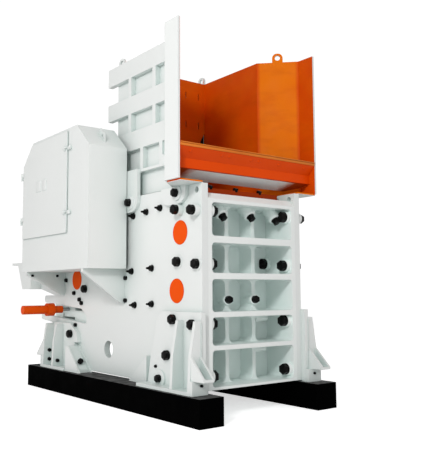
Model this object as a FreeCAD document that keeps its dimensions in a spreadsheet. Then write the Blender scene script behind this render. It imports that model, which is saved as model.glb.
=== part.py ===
import FreeCAD, Part
import Sketcher
import os
import re

# Jaw crusher on two skid beams: bolted frame, feed hopper, drive guards.
# X runs across the machine, Y from the feed side to the motor side, Z up.
# Every outline gives Y from the front face of the frame; Placement carries
# that face to its place, so the part's origin is under the middle of it.

doc = FreeCAD.newDocument("JawCrusher")
sheet = doc.addObject("Spreadsheet::Sheet", "Sizes")
Vector = FreeCAD.Vector
aliases = []
nodes = []


def sizes(**values):
    """Put driving dimensions in the sheet, one row each."""
    for alias, number in values.items():
        row = len(aliases) + 1
        sheet.set("A%d" % row, alias)
        sheet.set("B%d" % row, str(number))
        sheet.setAlias("B%d" % row, alias)
        aliases.append(alias)
    sheet.recompute()


def bound(text):
    """Turn a sum of aliases into an expression on the sheet."""
    known = set(aliases)
    word = lambda found: "Sizes." + found[0] if found[0] in known else found[0]
    return re.sub(r"[a-z][a-z_0-9]*", word, str(text))


def value(text):
    """What an expression comes to, in millimetres."""
    return float(sheet.evalExpression(bound(text)))


def bind(thing, **properties):
    for name, text in properties.items():
        thing.setExpression(name.replace("__", "."), bound(text))


def place(thing, across="0", along="0", up="0"):
    """Placement of a piece; along is measured from the frame's front face."""
    bind(thing, Placement__Base__x=across, Placement__Base__z=up,
         Placement__Base__y="front + (%s)" % along)
    return thing


def block(name, across, along, up, width, length, height):
    piece = doc.addObject("Part::Box", name)
    bind(piece, Length=width, Width=length, Height=height)
    return place(piece, across, along, up)


AXES = {"X": FreeCAD.Rotation(Vector(0, 1, 0), 90),
        "Y": FreeCAD.Rotation(Vector(1, 0, 0), -90),
        "Z": FreeCAD.Rotation()}


def rod(name, axis, across, along, up, radius, length):
    """Cylinder from a point towards +axis."""
    piece = doc.addObject("Part::Cylinder", name)
    piece.Placement.Rotation = AXES[axis]
    bind(piece, Radius=radius, Height=length)
    return place(piece, across, along, up)


SAME = 0.01
PLANES = {"YZ": ("YZ_Plane", Vector(1, 0, 0)),
          "XZ": ("XZ_Plane", Vector(0, 1, 0)),
          "XY": ("XY_Plane", Vector(0, 0, 1))}


def sketch(body, name, plane, outline, holes):
    """Closed outline and round holes, each point held by two dimensions."""
    drawing = body.newObject("Sketcher::SketchObject", name)
    role = PLANES[plane][0]
    origin_plane = [part for part in body.Origin.OriginFeatures if part.Role == role][0]
    drawing.AttachmentSupport = [(origin_plane, "")]
    drawing.MapMode = "FlatFace"

    def hold(kind, *where, text):
        number = drawing.addConstraint(Sketcher.Constraint(kind, *where, value(text)))
        drawing.setExpression("Constraints[%d]" % number, bound(text))

    corners = [Vector(value(first), value(second), 0) for first, second in outline]
    count = len(corners)
    for index in range(count):
        line = Part.LineSegment(corners[index], corners[(index + 1) % count])
        drawing.addGeometry(line, False)
    for index, (first, second) in enumerate(outline):
        following = (index + 1) % count
        drawing.addConstraint(Sketcher.Constraint("Coincident", index, 2, following, 1))
        hold("DistanceX", -1, 1, index, 1, text=first)
        hold("DistanceY", -1, 1, index, 1, text=second)
    for first, second, radius in holes:
        middle = Vector(value(first), value(second), 0)
        round_line = drawing.addGeometry(Part.Circle(middle, Vector(0, 0, 1), value(radius)), False)
        hold("Radius", round_line, text=radius)
        hold("DistanceX", -1, 1, round_line, 3, text=first)
        hold("DistanceY", -1, 1, round_line, 3, text=second)
    return drawing


def edges_at(shape, plane, corner):
    """Edges that run along the plane's normal through a corner of the outline."""
    normal = PLANES[plane][1]
    first, second = value(corner[0]), value(corner[1])
    spot = {"YZ": Vector(0, first, second), "XZ": Vector(first, 0, second),
            "XY": Vector(first, second, 0)}[plane]
    found = []
    for number, edge in enumerate(shape.Edges, 1):
        ends = [vertex.Point for vertex in edge.Vertexes]
        if all((end - spot - normal * (end - spot).dot(normal)).Length < SAME for end in ends):
            found.append("Edge%d" % number)
    return found


def rounding(body, name, plane, groups):
    """Fillets on the corners of an outline; groups are (radius, corners)."""
    for index, (radius, corners) in enumerate(groups):
        for feature in body.Group[-2:]:
            feature.recompute()
        base = body.Tip
        edges = []
        for corner in corners:
            edges += edges_at(base.Shape, plane, corner)
        fillet = body.newObject("PartDesign::Fillet", "%sRound%d" % (name, index))
        fillet.Base = (base, edges)
        bind(fillet, Radius=radius)
        body.Tip = fillet


def plate(name, plane, outline, start, thickness, holes=(), rounds=()):
    """Body: an outline with holes, padded from start along the plane's normal."""
    body = doc.addObject("PartDesign::Body", name)
    drawing = sketch(body, name + "Outline", plane, outline, holes)
    pad = body.newObject("PartDesign::Pad", name + "Pad")
    pad.Profile = drawing
    bind(pad, Length=thickness)
    pad.Reversed = plane == "XZ"
    body.Tip = pad
    rounding(body, name, plane, rounds)
    if plane == "YZ":
        return place(body, across=start)
    if plane == "XZ":
        return place(body, along=start)
    return place(body, up=start)


def cut(name, base, tools):
    tool = tools[0]
    if len(tools) > 1:
        tool = fuse(name + "Tools", tools)
    piece = doc.addObject("Part::Cut", name)
    piece.Base = base
    piece.Tool = tool
    return piece


def fuse(name, pieces):
    piece = doc.addObject("Part::MultiFuse", name)
    piece.Shapes = pieces
    return piece


def node(piece, label):
    piece.Label = label
    nodes.append(piece)
    return piece


def pair(piece, label):
    """A right-hand piece and its mirror image on the left."""
    node(piece, label + "_right")
    twin = doc.addObject("Part::Mirroring", piece.Name + "Left")
    twin.Source = piece
    twin.Normal = Vector(1, 0, 0)
    twin.Base = Vector(0, 0, 0)
    node(twin, label + "_left")


def rectangle(first, last, low, high):
    return [(first, low), (last, low), (last, high), (first, high)]


sizes(front=-2000, half_width=650, side_plate=72, seat_gap=0.3)
frame_half = "(half_width - side_plate)"

# ---- Skid beams -------------------------------------------------------------
sizes(beam_inset=43, beam_width=274, beam_height=258, beam_front=-255, beam_length=3692)
pair(block("SkidBeam", "half_width - beam_inset", "beam_front", "0",
           "beam_width", "beam_length", "beam_height"), "skid_beam")

# ---- Side plates: 72 mm plate, notched at the rear for the setting wedges ---
sizes(plate_bottom=275, plate_top=2221, bearing_seat=2000, seat_front=1745, plate_rear=2900,
      shoulder_y=2560, shoulder_low=1700, ear_top=1150, ear_tip_y=3470, ear_low_z=1060,
      notch_top_y=2424, notch_top_z=992, notch_front_y=2250, notch_mid_z=890,
      notch_low_y=2310, notch_low_z=816, lower_ear_y=3560, lower_ear_top=905, lower_ear_low=815,
      leg_y=3070, leg_top=790, window_y=1747, window_z=548, window_radius=95,
      key_radius=120, key_hole=120.5, eye_y=79, eye_z=2161, eye_radius=30, ear_round=36,
      tip_round=22, notch_round=60)
KEYS = {"upper": ("key_upper_y", "key_upper_z"), "lower": ("key_lower_y", "key_lower_z"),
        "rear": ("key_rear_y", "key_rear_z")}
sizes(key_upper_y=354, key_upper_z=1770, key_lower_y=413, key_lower_z=1199,
      key_rear_y=2542, key_rear_z=1342)
side_outline = [
    ("0", "plate_bottom"), ("leg_y", "plate_bottom"), ("leg_y", "leg_top"),
    ("lower_ear_y", "lower_ear_low + tip_round"), ("lower_ear_y", "lower_ear_top"),
    ("notch_low_y", "notch_low_z"), ("notch_front_y", "notch_mid_z"),
    ("notch_top_y", "notch_top_z"), ("ear_tip_y", "ear_low_z"), ("ear_tip_y", "ear_top"),
    ("plate_rear", "ear_top"), ("plate_rear", "shoulder_low"), ("shoulder_y", "bearing_seat"),
    ("seat_front", "bearing_seat"), ("seat_front", "plate_top"), ("0", "plate_top")]
side_holes = [("window_y", "window_z", "window_radius"), ("eye_y", "eye_z", "eye_radius")]
side_holes += [(along, up, "key_hole") for along, up in KEYS.values()]
side_rounds = [("ear_round", [("ear_tip_y", "ear_low_z"), ("ear_tip_y", "ear_top")]),
               ("tip_round", [("lower_ear_y", "lower_ear_low + tip_round"),
                              ("lower_ear_y", "lower_ear_top")]),
               ("notch_round", [("notch_front_y", "notch_mid_z")])]
pair(plate("SidePlate", "YZ", side_outline, frame_half, "side_plate",
           side_holes, side_rounds), "side_plate")

# ---- Shear keys: round keys let into the side plates ------------------------
sizes(key_proud=3)
pair(fuse("ShearKeys", [rod("Key" + name, "X", frame_half + " + seat_gap", along, up,
                            "key_radius", "side_plate + key_proud")
                        for name, (along, up) in KEYS.items()]), "shear_keys")

# ---- Front frame casting: five tiers of pockets, back face leaning ----------
sizes(front_top=2077, crown_y=60, crown_z=2140, back_top_y=520, back_low_y=760, back_low_z=480,
      pocket_depth=400, casting_wall=48, pocket_round=35, web_x=177, web=45, web_front=215)
TIERS = [("tier%d_low" % number, "tier%d_high" % number) for number in range(1, 6)]
sizes(tier1_low=1722, tier1_high=2043, tier2_low=1367, tier2_high=1656, tier3_low=997,
      tier3_high=1308, tier4_low=683, tier4_high=947, tier5_low=300, tier5_high=640)
pocket_half = "(%s - casting_wall)" % frame_half


def face_y(level):
    """Y of the leaning back face of the front casting at a level."""
    lean = "(back_low_y - back_top_y) / (front_top - back_low_z)"
    return "back_low_y - (%s - back_low_z) * %s" % (level, lean)


casting = plate("FrontCasting", "YZ",
                [("0", "plate_bottom"), ("back_low_y", "plate_bottom"),
                 ("back_low_y", "back_low_z"), (face_y("crown_z"), "crown_z"),
                 ("crown_y", "crown_z"), ("0", "front_top")],
                "-1 * " + frame_half, "2 * " + frame_half)
pockets = []
for number, (low, high) in enumerate(TIERS, 1):
    outline = rectangle("-1 * " + pocket_half, pocket_half, low, high)
    pockets.append(plate("Pocket%d" % number, "XZ", outline, "-pocket_round",
                         "pocket_depth + pocket_round",
                         rounds=[("pocket_round", outline)]))
node(cut("FrontFrame", casting, pockets), "front_frame_casting")
webs = [block("Web%d%d" % (tier, column), centre + " - web / 2", "web_front", low, "web",
              "pocket_depth - web_front", "%s - %s" % (high, low))
        for tier, (low, high) in enumerate(TIERS)
        for column, centre in enumerate(("-web_x", "web_x"))]
node(doc.addObject("Part::Compound", "FrontWebs"), "front_frame_webs")
nodes[-1].Links = webs

# ---- Rear frame casting: hooked beam that takes the toggle load -------------
sizes(rear_front_y=2450, rear_top=1900, hook_y=2860, hook_low=1060, hook_rear_y=3280,
      hook_inner_y=3060, hook_bottom=640, hook_step=1650)
node(plate("RearFrame", "YZ",
           [("rear_front_y", "hook_low"), ("hook_inner_y", "hook_low"),
            ("hook_inner_y", "hook_bottom"), ("hook_rear_y", "hook_bottom"),
            ("hook_rear_y", "ear_top"), ("hook_y", "ear_top"), ("hook_y", "hook_step"),
            ("rear_front_y", "rear_top")],
           "-1 * " + frame_half, "2 * " + frame_half), "rear_frame_casting")

# ---- Crushing chamber: fixed jaw, cheek plates, swing jaw -------------------
sizes(die_thick=110, jaw_clear=30, die_bottom=480, die_top=2120,
      clamp_y=200, clamp_depth=120, clamp_height=75, clamp_clear=10,
      cheek_thick=36, cheek_top=2150, cheek_low=700,
      gape_top_y=1410, gape_low_y=1010)


def jaw_back(level):
    """Y of the swing jaw's back below its middle, where the toggle and rod push."""
    lean = "(jaw_back_mid - jaw_back_low) / (jaw_mid_z - jaw_bottom)"
    return "jaw_back_low + (%s - jaw_bottom) * %s" % (level, lean)


def jaw_y(level):
    """Y of the swing jaw die's face at a level, with the jaw at rest."""
    lean = "(gape_top_y - gape_low_y) / (die_top - die_bottom)"
    return "gape_low_y + (%s - die_bottom) * %s" % (level, lean)


fixed_low = face_y("die_bottom")
fixed_high = face_y("die_top")
node(plate("FixedDie", "YZ",
           [(fixed_low + " + seat_gap", "die_bottom"),
            (fixed_low + " + die_thick", "die_bottom"),
            (fixed_high + " + die_thick", "die_top"), (fixed_high + " + seat_gap", "die_top")],
           "-1 * " + pocket_half, "2 * " + pocket_half), "fixed_jaw_die")
clamp_half = "(%s - clamp_clear)" % pocket_half
node(block("ClampBar", "-1 * " + clamp_half, "clamp_y", "crown_z + seat_gap",
           "2 * " + clamp_half, "clamp_depth", "clamp_height"), "jaw_clamp_bar")
pair(plate("CheekPlate", "YZ",
           [(face_y("cheek_low") + " + die_thick", "cheek_low"),
            (jaw_y("cheek_low"), "cheek_low"), (jaw_y("cheek_top"), "cheek_top"),
            (face_y("cheek_top") + " + die_thick", "cheek_top")],
           frame_half + " - cheek_thick", "cheek_thick"), "cheek_plate")

sizes(shaft_y=2155, shaft_z=2230, shaft_radius=130, hub_radius=330, hub_reach=264,
      hub_drop=198, jaw_back_low=1560, jaw_bottom=420, jaw_back_mid=1700, jaw_mid_z=900,
      jaw_cap_z=2260)
jaw_half = "(%s - jaw_clear)" % pocket_half
jaw_arm = plate("JawArm", "YZ",
                [(jaw_y("jaw_bottom") + " + die_thick", "jaw_bottom"),
                 ("jaw_back_low", "jaw_bottom"), ("jaw_back_mid", "jaw_mid_z"),
                 ("shaft_y + hub_reach", "shaft_z - hub_drop"),
                 ("shaft_y", "shaft_z"),
                 ("shaft_y - hub_drop", "jaw_cap_z"),
                 (jaw_y("die_top") + " + die_thick", "die_top")],
                "-1 * " + jaw_half, "2 * " + jaw_half)
jaw_hub = rod("JawHub", "X", "-1 * " + jaw_half, "shaft_y", "shaft_z", "hub_radius",
              "2 * " + jaw_half)
hub_bore = rod("HubBore", "X", "-half_width", "shaft_y", "shaft_z",
               "shaft_radius + seat_gap", "2 * half_width")
node(cut("SwingJaw", fuse("SwingJawBlank", [jaw_arm, jaw_hub]), [hub_bore]), "swing_jaw")
node(plate("SwingDie", "YZ",
           [(jaw_y("die_bottom"), "die_bottom"),
            (jaw_y("die_bottom") + " + die_thick - seat_gap", "die_bottom"),
            (jaw_y("die_top") + " + die_thick - seat_gap", "die_top"),
            (jaw_y("die_top"), "die_top")],
           "-1 * " + jaw_half, "2 * " + jaw_half), "swing_jaw_die")

# ---- Eccentric shaft, bearings, flywheel and sheave -------------------------
sizes(bearing_inset=43, bearing_width=155, bearing_drop=5, bearing_foot=300, wheel_gap=160,
      wheel_radius=720, wheel_width=220, boss_radius=210, boss_length=40, shaft_past=20,
      bore_past=1)
bearing_inner = frame_half + " - bearing_inset"
wheel_inner = "half_width + wheel_gap"
shaft_reach = "(%s + wheel_width + boss_length + shaft_past)" % wheel_inner
node(rod("EccentricShaft", "X", "-1 * " + shaft_reach, "shaft_y", "shaft_z", "shaft_radius",
         "2 * " + shaft_reach), "eccentric_shaft")
bearing_block = fuse("BearingBlank", [
    block("BearingFoot", bearing_inner, "shaft_y - bearing_foot", "bearing_seat",
          "bearing_width", "2 * bearing_foot", "shaft_z - bearing_seat"),
    rod("BearingRing", "X", bearing_inner, "shaft_y", "shaft_z",
        "shaft_z - bearing_seat - bearing_drop", "bearing_width")])
pair(cut("Bearing", bearing_block,
         [rod("BearingBore", "X", bearing_inner + " - bore_past", "shaft_y", "shaft_z",
              "shaft_radius + seat_gap", "bearing_width + 2 * bore_past")]), "bearing_housing")
wheel_blank = fuse("WheelBlank", [
    rod("WheelDisc", "X", wheel_inner, "shaft_y", "shaft_z", "wheel_radius", "wheel_width"),
    rod("WheelBoss", "X", wheel_inner + " - boss_length", "shaft_y", "shaft_z", "boss_radius",
        "wheel_width + 2 * boss_length")])
pair(cut("Wheel", wheel_blank,
         [rod("WheelBore", "X", wheel_inner + " - boss_length - bore_past", "shaft_y", "shaft_z",
              "shaft_radius + seat_gap", "wheel_width + 2 * boss_length + 2 * bore_past")]),
     "flywheel")

# ---- Toggle, wedges, tension rod --------------------------------------------
sizes(toggle_clear=158, toggle_thick=70, toggle_front_z=720,
      toggle_rear_y=2150, toggle_rear_z=880, seat_low=800, seat_high=960, seat_rear=2760,
      wedge_low=880, wedge_high=1040, wedge_clear=18, rod_radius=32, rod_front_z=480,
      rod_rear_y=3240, rod_rear_z=600, cylinder_y=2930, cylinder_z=975, piston_radius=22,
      piston_show=11, neck_radius=46, neck_length=119, collar_radius=80, collar_length=90,
      barrel_radius=54, barrel_length=313)
toggle_half = "(%s - toggle_clear)" % frame_half
wedge_half = "(%s - wedge_clear)" % frame_half
toggle_front = jaw_back("(toggle_front_z + toggle_thick / 2)") + " + seat_gap"
rod_front = jaw_back("(rod_front_z + rod_radius)") + " + seat_gap"
node(plate("TogglePlate", "YZ",
           [(toggle_front, "toggle_front_z - toggle_thick / 2"),
            ("toggle_rear_y", "toggle_rear_z - toggle_thick / 2"),
            ("toggle_rear_y", "toggle_rear_z + toggle_thick / 2"),
            (toggle_front, "toggle_front_z + toggle_thick / 2")],
           "-1 * " + toggle_half, "2 * " + toggle_half), "toggle_plate")
node(block("ToggleSeat", "-1 * " + wedge_half, "toggle_rear_y + seat_gap", "seat_low",
           "2 * " + wedge_half, "seat_rear - toggle_rear_y", "seat_high - seat_low"), "toggle_seat")
node(block("SettingWedge", "-1 * " + wedge_half, "seat_rear + 2 * seat_gap", "wedge_low",
           "2 * " + wedge_half, "hook_inner_y - seat_rear - 3 * seat_gap",
           "wedge_high - wedge_low"), "setting_wedges")
node(plate("TensionRod", "YZ",
           [(rod_front, "rod_front_z - rod_radius"), ("rod_rear_y", "rod_rear_z - rod_radius"),
            ("rod_rear_y", "rod_rear_z + rod_radius"), (rod_front, "rod_front_z + rod_radius")],
           "-rod_radius", "2 * rod_radius"), "tension_rod")
piston_start = wedge_half + " + seat_gap"
cylinder = [rod("Piston", "X", piston_start, "cylinder_y", "cylinder_z", "piston_radius",
                "half_width + piston_show - (%s)" % piston_start)]
reach = "half_width + piston_show"
for section in ("neck", "collar", "barrel"):
    cylinder.append(rod(section.capitalize(), "X", reach, "cylinder_y", "cylinder_z",
                        section + "_radius", section + "_length"))
    reach += " + " + section + "_length"
pair(fuse("WedgeCylinder", cylinder), "wedge_cylinder")

# ---- Feet: bolted brackets that carry the frame on the beams ----------------
sizes(foot_plate=50, foot_lead=50, foot_low_width=855, foot_mid_width=800, foot_mid=540,
      foot_shoulder_width=690, foot_shoulder=930, foot_top_width=600, foot_top=1000,
      foot_rib=40, rib_spacing=280, rib_top=920, rib_knee=600, rib_top_reach=115,
      rib_knee_reach=172, rib_low_reach=188, sole_thick=30, nose_tip=237, nose_low=390,
      nose_thick=25, nose_high=600, gusset_inner=50, gusset_outer=150, gusset_thick=22,
      pad_inner=5, pad_lead=90, tail_start=880, tail_end=1224, tail_top=541)
sizes(rear_low_width=575, rear_mid_width=660, rear_mid=589, rear_shoulder_width=625,
      rear_shoulder=706, rear_top_width=455, rear_foot_top=815, rear_rib_top=800,
      rear_rib_reach=140)


def foot(name, toward, start, profile, rib_level, rib_reach, more=()):
    """Flange on the side plate, two ribs and a nose; profile is the flange's inner edge.

    Distances run from the frame's end face inwards; toward is 1 at the front
    and -1 at the rear.
    """
    along = lambda distance: "%s + %d * (%s)" % (start, toward, distance)
    least = lambda first, last: along(first) if toward > 0 else along(last)
    out = lambda reach: "half_width + " + reach
    length, top = profile[0][0], profile[-1][1]
    pieces = [
        plate(name + "Flange", "YZ",
              [(along("-foot_lead"), "beam_height")]
              + [(along(width), level) for width, level in profile]
              + [(along("-foot_lead"), top)], "half_width", "foot_plate"),
        block(name + "Sole", "half_width", least("-foot_lead", length), "beam_height",
              "rib_low_reach", length + " + foot_lead", "sole_thick"),
        block(name + "Pad", out("pad_inner"), least("-pad_lead", "-foot_lead"), "beam_height",
              "rib_low_reach - pad_inner", "pad_lead - foot_lead", "nose_low - beam_height"),
        block(name + "Shelf", out("gusset_inner"), least("-nose_tip", "-foot_lead"), "nose_low",
              "gusset_outer + gusset_thick - gusset_inner", "nose_tip - foot_lead", "nose_thick")]
    for number in range(2):
        first = "rib_spacing * %d - foot_lead" % number
        pieces.append(plate("%sRib%d" % (name, number), "XZ",
                            [("half_width", "beam_height"),
                             (out("rib_low_reach"), "beam_height"),
                             (out("rib_knee_reach"), "rib_knee"),
                             (out(rib_reach), rib_level), ("half_width", rib_level)],
                            least(first, first + " + foot_rib"), "foot_rib"))
    for number, inner in enumerate(("gusset_inner", "gusset_outer")):
        pieces.append(plate("%sGusset%d" % (name, number), "YZ",
                            [(along("-foot_lead"), "nose_low"), (along("-foot_lead"), "nose_high"),
                             (along("-nose_tip"), "nose_low + nose_thick"),
                             (along("-nose_tip"), "nose_low")], out(inner), "gusset_thick"))
    return fuse(name, pieces + list(more))


tail = plate("Tail", "YZ", [("tail_start", "beam_height"), ("tail_end", "beam_height"),
                            ("tail_start", "tail_top")], "half_width", "foot_plate")
pair(foot("FrontFoot", 1, "0",
          [("foot_low_width", "beam_height"), ("foot_mid_width", "foot_mid"),
           ("foot_shoulder_width", "foot_shoulder"), ("foot_top_width", "foot_top")],
          "rib_top", "rib_top_reach", [tail]), "front_foot")
pair(foot("RearFoot", -1, "leg_y",
          [("rear_low_width", "beam_height"), ("rear_low_width", "rear_mid"),
           ("rear_mid_width", "rear_mid"), ("rear_shoulder_width", "rear_shoulder"),
           ("rear_top_width", "rear_foot_top")], "rear_rib_top", "rear_rib_reach"), "rear_foot")

# ---- Stops: open boxes with a sloping seat, in front of the rear feet -------
sizes(stop_front=2125, stop_rear=2490, stop_top=550, stop_reach=170, stop_sheet=20,
      stop_depth=50, stop_floor=20, stop_sill=32)


def stop_slope(level):
    """Y of the stop's 45 degree edge at a level."""
    return "stop_front + (%s - beam_height)" % level


stop_outline = [("stop_front", "beam_height"), ("stop_rear", "beam_height"),
                ("stop_rear", "stop_top"), (stop_slope("stop_top"), "stop_top")]
stop_bottom = "(beam_height + stop_sill)"
stop_seat = plate("StopSeat", "YZ",
                  [(stop_slope(stop_bottom) + " + stop_depth", stop_bottom),
                   (stop_slope(stop_bottom) + " + stop_depth + stop_floor", stop_bottom),
                   (stop_slope("stop_top") + " + stop_depth + stop_floor", "stop_top"),
                   (stop_slope("stop_top") + " + stop_depth", "stop_top")],
                  "half_width + stop_sheet", "stop_reach - 2 * stop_sheet")
pair(fuse("RearStop", [
    plate("StopInner", "YZ", stop_outline, "half_width", "stop_sheet"),
    plate("StopOuter", "YZ", stop_outline, "half_width + stop_reach - stop_sheet", "stop_sheet"),
    block("StopSill", "half_width", stop_slope(stop_bottom), "beam_height", "stop_reach",
          "stop_rear - (%s)" % stop_slope(stop_bottom), "stop_sill"), stop_seat]), "rear_stop")

# ---- Hopper -----------------------------------------------------------------
sizes(sheet_thick=25, hopper_inset=83, flare_y=546, mouth_y=212,
      hopper_low=2240, hopper_top=3789, wall_rear_y=1670, rear_wall_y=1530,
      rib_front_y=600, rib_rear_y=1800, floor_low=2222)
sizes(lug_width=120, lug_height=105, lug_eye=30, lug_round=55, lug_eye_up=52, lug_root=20,
      wall_lug_y=1600)
mitre = "22.5 deg"
corner_step = "sheet_thick * tan(%s)" % mitre
hopper_half = "(half_width - hopper_inset)"
mouth_half = "(%s + flare_y - mouth_y)" % hopper_half


def lug(name, across, along, turn):
    """Lifting eye: an arched plate that stands on the top edge of a panel."""
    half = "lug_width / 2"
    outline = [("-" + half, "-lug_root"), (half, "-lug_root"), (half, "lug_height"),
               ("-" + half, "lug_height")]
    piece = plate(name, "YZ", outline, "0", "sheet_thick",
                  [("0", "lug_eye_up", "lug_eye")], [("lug_round", outline[2:])])
    piece.Placement.Rotation = FreeCAD.Rotation(Vector(0, 0, 1), turn)
    return place(piece, across, along, "hopper_top")


wall_corner = (hopper_half, "flare_y")
wall_corner_out = (hopper_half + " + sheet_thick", "flare_y + " + corner_step)
mouth_corner = (mouth_half, "mouth_y")
mouth_corner_out = (mouth_half + " + sheet_thick", "mouth_y + " + corner_step)
PANELS = {
    "Wall": [(hopper_half, "wall_rear_y"), wall_corner, wall_corner_out,
             (hopper_half + " + sheet_thick", "wall_rear_y")],
    "Flare": [wall_corner, mouth_corner, mouth_corner_out, wall_corner_out],
    "Cheek": [mouth_corner, (mouth_half, "0"), (mouth_half + " + sheet_thick", "0"),
              mouth_corner_out]}
panels = {name: plate("Hopper" + name, "XY", outline, "hopper_low", "hopper_top - hopper_low")
          for name, outline in PANELS.items()}
pair(fuse("HopperWallEye", [panels["Wall"], lug("WallLug", hopper_half, "wall_lug_y", 0)]),
     "hopper_wall")
pair(fuse("HopperFlareEye", [
    panels["Flare"],
    lug("FlareLug", "(%s + %s) / 2" % (hopper_half, mouth_half), "(flare_y + mouth_y) / 2", 45)]),
    "hopper_flare")
pair(panels["Cheek"], "hopper_cheek")
RIBS = {"top": ("rib_top_low", "hopper_top"), "high": ("rib_high_low", "rib_high_top"),
        "mid": ("rib_mid_low", "rib_mid_top")}
sizes(rib_top_low=3580, rib_high_low=3165, rib_high_top=3360, rib_mid_low=2745, rib_mid_top=2955,
      rib_low_z=2480, rib_low_height=30, rib_low_front=630, rib_low_rear=1100, bar_width=60,
      bar_rear_y=1320, bar_front_y=830, bar_low_rear=1070, bar_low_front=700)
rib_start = hopper_half + " + sheet_thick"
rib_width = "hopper_inset - sheet_thick"
ribs = [block("Rib" + name, rib_start, "rib_front_y", low, rib_width,
              "rib_rear_y - rib_front_y", high + " - " + low)
        for name, (low, high) in RIBS.items()]
ribs.append(block("RibLow", rib_start, "rib_low_front", "rib_low_z", rib_width,
                  "rib_low_rear - rib_low_front", "rib_low_height"))
BARS = [("bar_rear_y", "rib_high_top", "rib_top_low"), ("bar_front_y", "rib_high_top", "rib_top_low"),
        ("bar_rear_y", "rib_mid_top", "rib_high_low"), ("bar_front_y", "rib_mid_top", "rib_high_low"),
        ("bar_low_rear", "rib_low_z", "rib_mid_low"), ("bar_low_front", "rib_low_z", "rib_mid_low")]
ribs += [block("Bar%d" % number, rib_start, middle + " - bar_width / 2", low, rib_width, "bar_width",
               "%s - (%s)" % (high, low))
         for number, (middle, low, high) in enumerate(BARS)]
pair(fuse("HopperRibs", ribs), "hopper_ribs")

sizes(hopper_leg=40, leg_low=2048, leg_round=130, front_leg_y=209, front_leg_rear=630,
      rear_leg_y=1089, rear_leg_rear=1550, rear_leg_top=2510)
front_leg = rectangle("front_leg_y", "front_leg_rear", "leg_low", "floor_low")
rear_leg = rectangle("rear_leg_y", "rear_leg_rear", "leg_low", "rear_leg_top")
legs = [plate("FrontLeg", "YZ", front_leg, "half_width", "hopper_leg",
              rounds=[("leg_round", front_leg[:2])]),
        plate("RearLeg", "YZ", rear_leg, "half_width", "hopper_leg",
              rounds=[("leg_round", rear_leg[:2])])]
pair(fuse("HopperLegs", legs), "hopper_legs")

sizes(rear_sheet=20, neck_inset=67, neck_low=3050, neck_high=3160, slot_width=14,
      slot_length=80, slot_inner=280, slot_outer=473, slot_low_z=3200, slot_high_z=3565)
wall_side = "(%s - seat_gap)" % hopper_half
neck_half = "(%s - neck_inset)" % hopper_half
rear_blank = plate("HopperRearBlank", "XZ",
                   [("-1 * " + neck_half, "hopper_low"), (neck_half, "hopper_low"),
                    (neck_half, "neck_low"), (wall_side, "neck_high"),
                    (wall_side, "hopper_top"), ("-1 * " + wall_side, "hopper_top"),
                    ("-1 * " + wall_side, "neck_high"), ("-1 * " + neck_half, "neck_low")],
                   "rear_wall_y", "rear_sheet")
slots = [block("Slot%s%s%s" % (side, column, row), sign + column + " - slot_width / 2",
               "rear_wall_y - bore_past", row, "slot_width",
               "rear_sheet + 2 * bore_past", "slot_length")
         for side, sign in (("Left", "-1 * "), ("Right", ""))
         for column in ("slot_inner", "slot_outer")
         for row in ("slot_low_z", "slot_high_z")]
node(cut("HopperRear", rear_blank, slots), "hopper_rear_wall")
sizes(lip_low=2358, lip_step=2452, lip_break=2545, lip_top=2580, lip_set=80, lip_back=120,
      chute_thick=20, chute_low=2300, chute_rear=350, floor_inset=10, floor_rear=440)
node(plate("FrontLip", "YZ",
           [("lip_set", "lip_low"), ("lip_set", "lip_step"), ("0", "lip_break"),
            ("0", "lip_top"), ("lip_back", "lip_top"), ("lip_back", "lip_low")],
           "-1 * (%s - seat_gap)" % mouth_half, "2 * (%s - seat_gap)" % mouth_half),
     "hopper_front_lip")
chute_side = "(%s - seat_gap)" % mouth_half
chute_end = "(chute_rear + bore_past)"
chute_blank = plate("ChuteBlank", "YZ",
                    [("lip_back", "lip_low"), ("chute_rear", "chute_low"),
                     ("chute_rear", "chute_low + chute_thick"),
                     ("lip_back", "lip_low + chute_thick")], "-1 * " + chute_side, "2 * " + chute_side)
corners = [plate("ChuteCorner" + side, "XY",
                 [(sign + chute_side, "mouth_y"),
                  (sign + "(%s + bore_past)" % chute_side, "mouth_y"),
                  (sign + "(%s + bore_past)" % chute_side, chute_end),
                  (sign + "(%s + mouth_y - %s)" % (chute_side, chute_end), chute_end)],
                 "chute_low - bore_past", "lip_low - chute_low + chute_thick + 2 * bore_past")
           for side, sign in (("Left", "-1 * "), ("Right", ""))]
node(cut("ChutePlate", chute_blank, corners), "hopper_chute_plate")
pair(plate("HopperFloor", "XY",
           [("half_width - floor_inset", "0"), (mouth_half, "0"), (mouth_half, "mouth_y"),
            ("half_width - floor_inset", "floor_rear")], "floor_low", "hopper_low - floor_low"),
     "hopper_floor")

# ---- Guards with a hinged door ----------------------------------------------
sizes(guard_gap=50, guard_width=465, guard_front=1290, guard_rear=3020, guard_low=1440,
      guard_shoulder=2760, guard_top=3020, guard_top_front=1575, guard_top_rear=2750,
      guard_skin=8, door_front=1775, door_low=1846, door_thick=14, door_rear=2985,
      door_shoulder=2750, door_top_rear=2740, door_top=2985, door_lap=40, door_gap=6)
guard_inner = "half_width + guard_gap"
guard_out = "(%s + guard_width)" % guard_inner
guard_outline = [("guard_front", "guard_low"), ("guard_rear", "guard_low"),
                 ("guard_rear", "guard_shoulder"), ("guard_top_rear", "guard_top"),
                 ("guard_top_front", "guard_top"), ("guard_front", "guard_shoulder")]
inner_outline = [("guard_front + guard_skin", "guard_low + guard_skin"),
                 ("guard_rear - guard_skin", "guard_low + guard_skin"),
                 ("guard_rear - guard_skin", "guard_shoulder - guard_skin / 2"),
                 ("guard_top_rear - guard_skin / 2", "guard_top - guard_skin"),
                 ("guard_top_front + guard_skin / 2", "guard_top - guard_skin"),
                 ("guard_front + guard_skin", "guard_shoulder - guard_skin / 2")]
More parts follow.
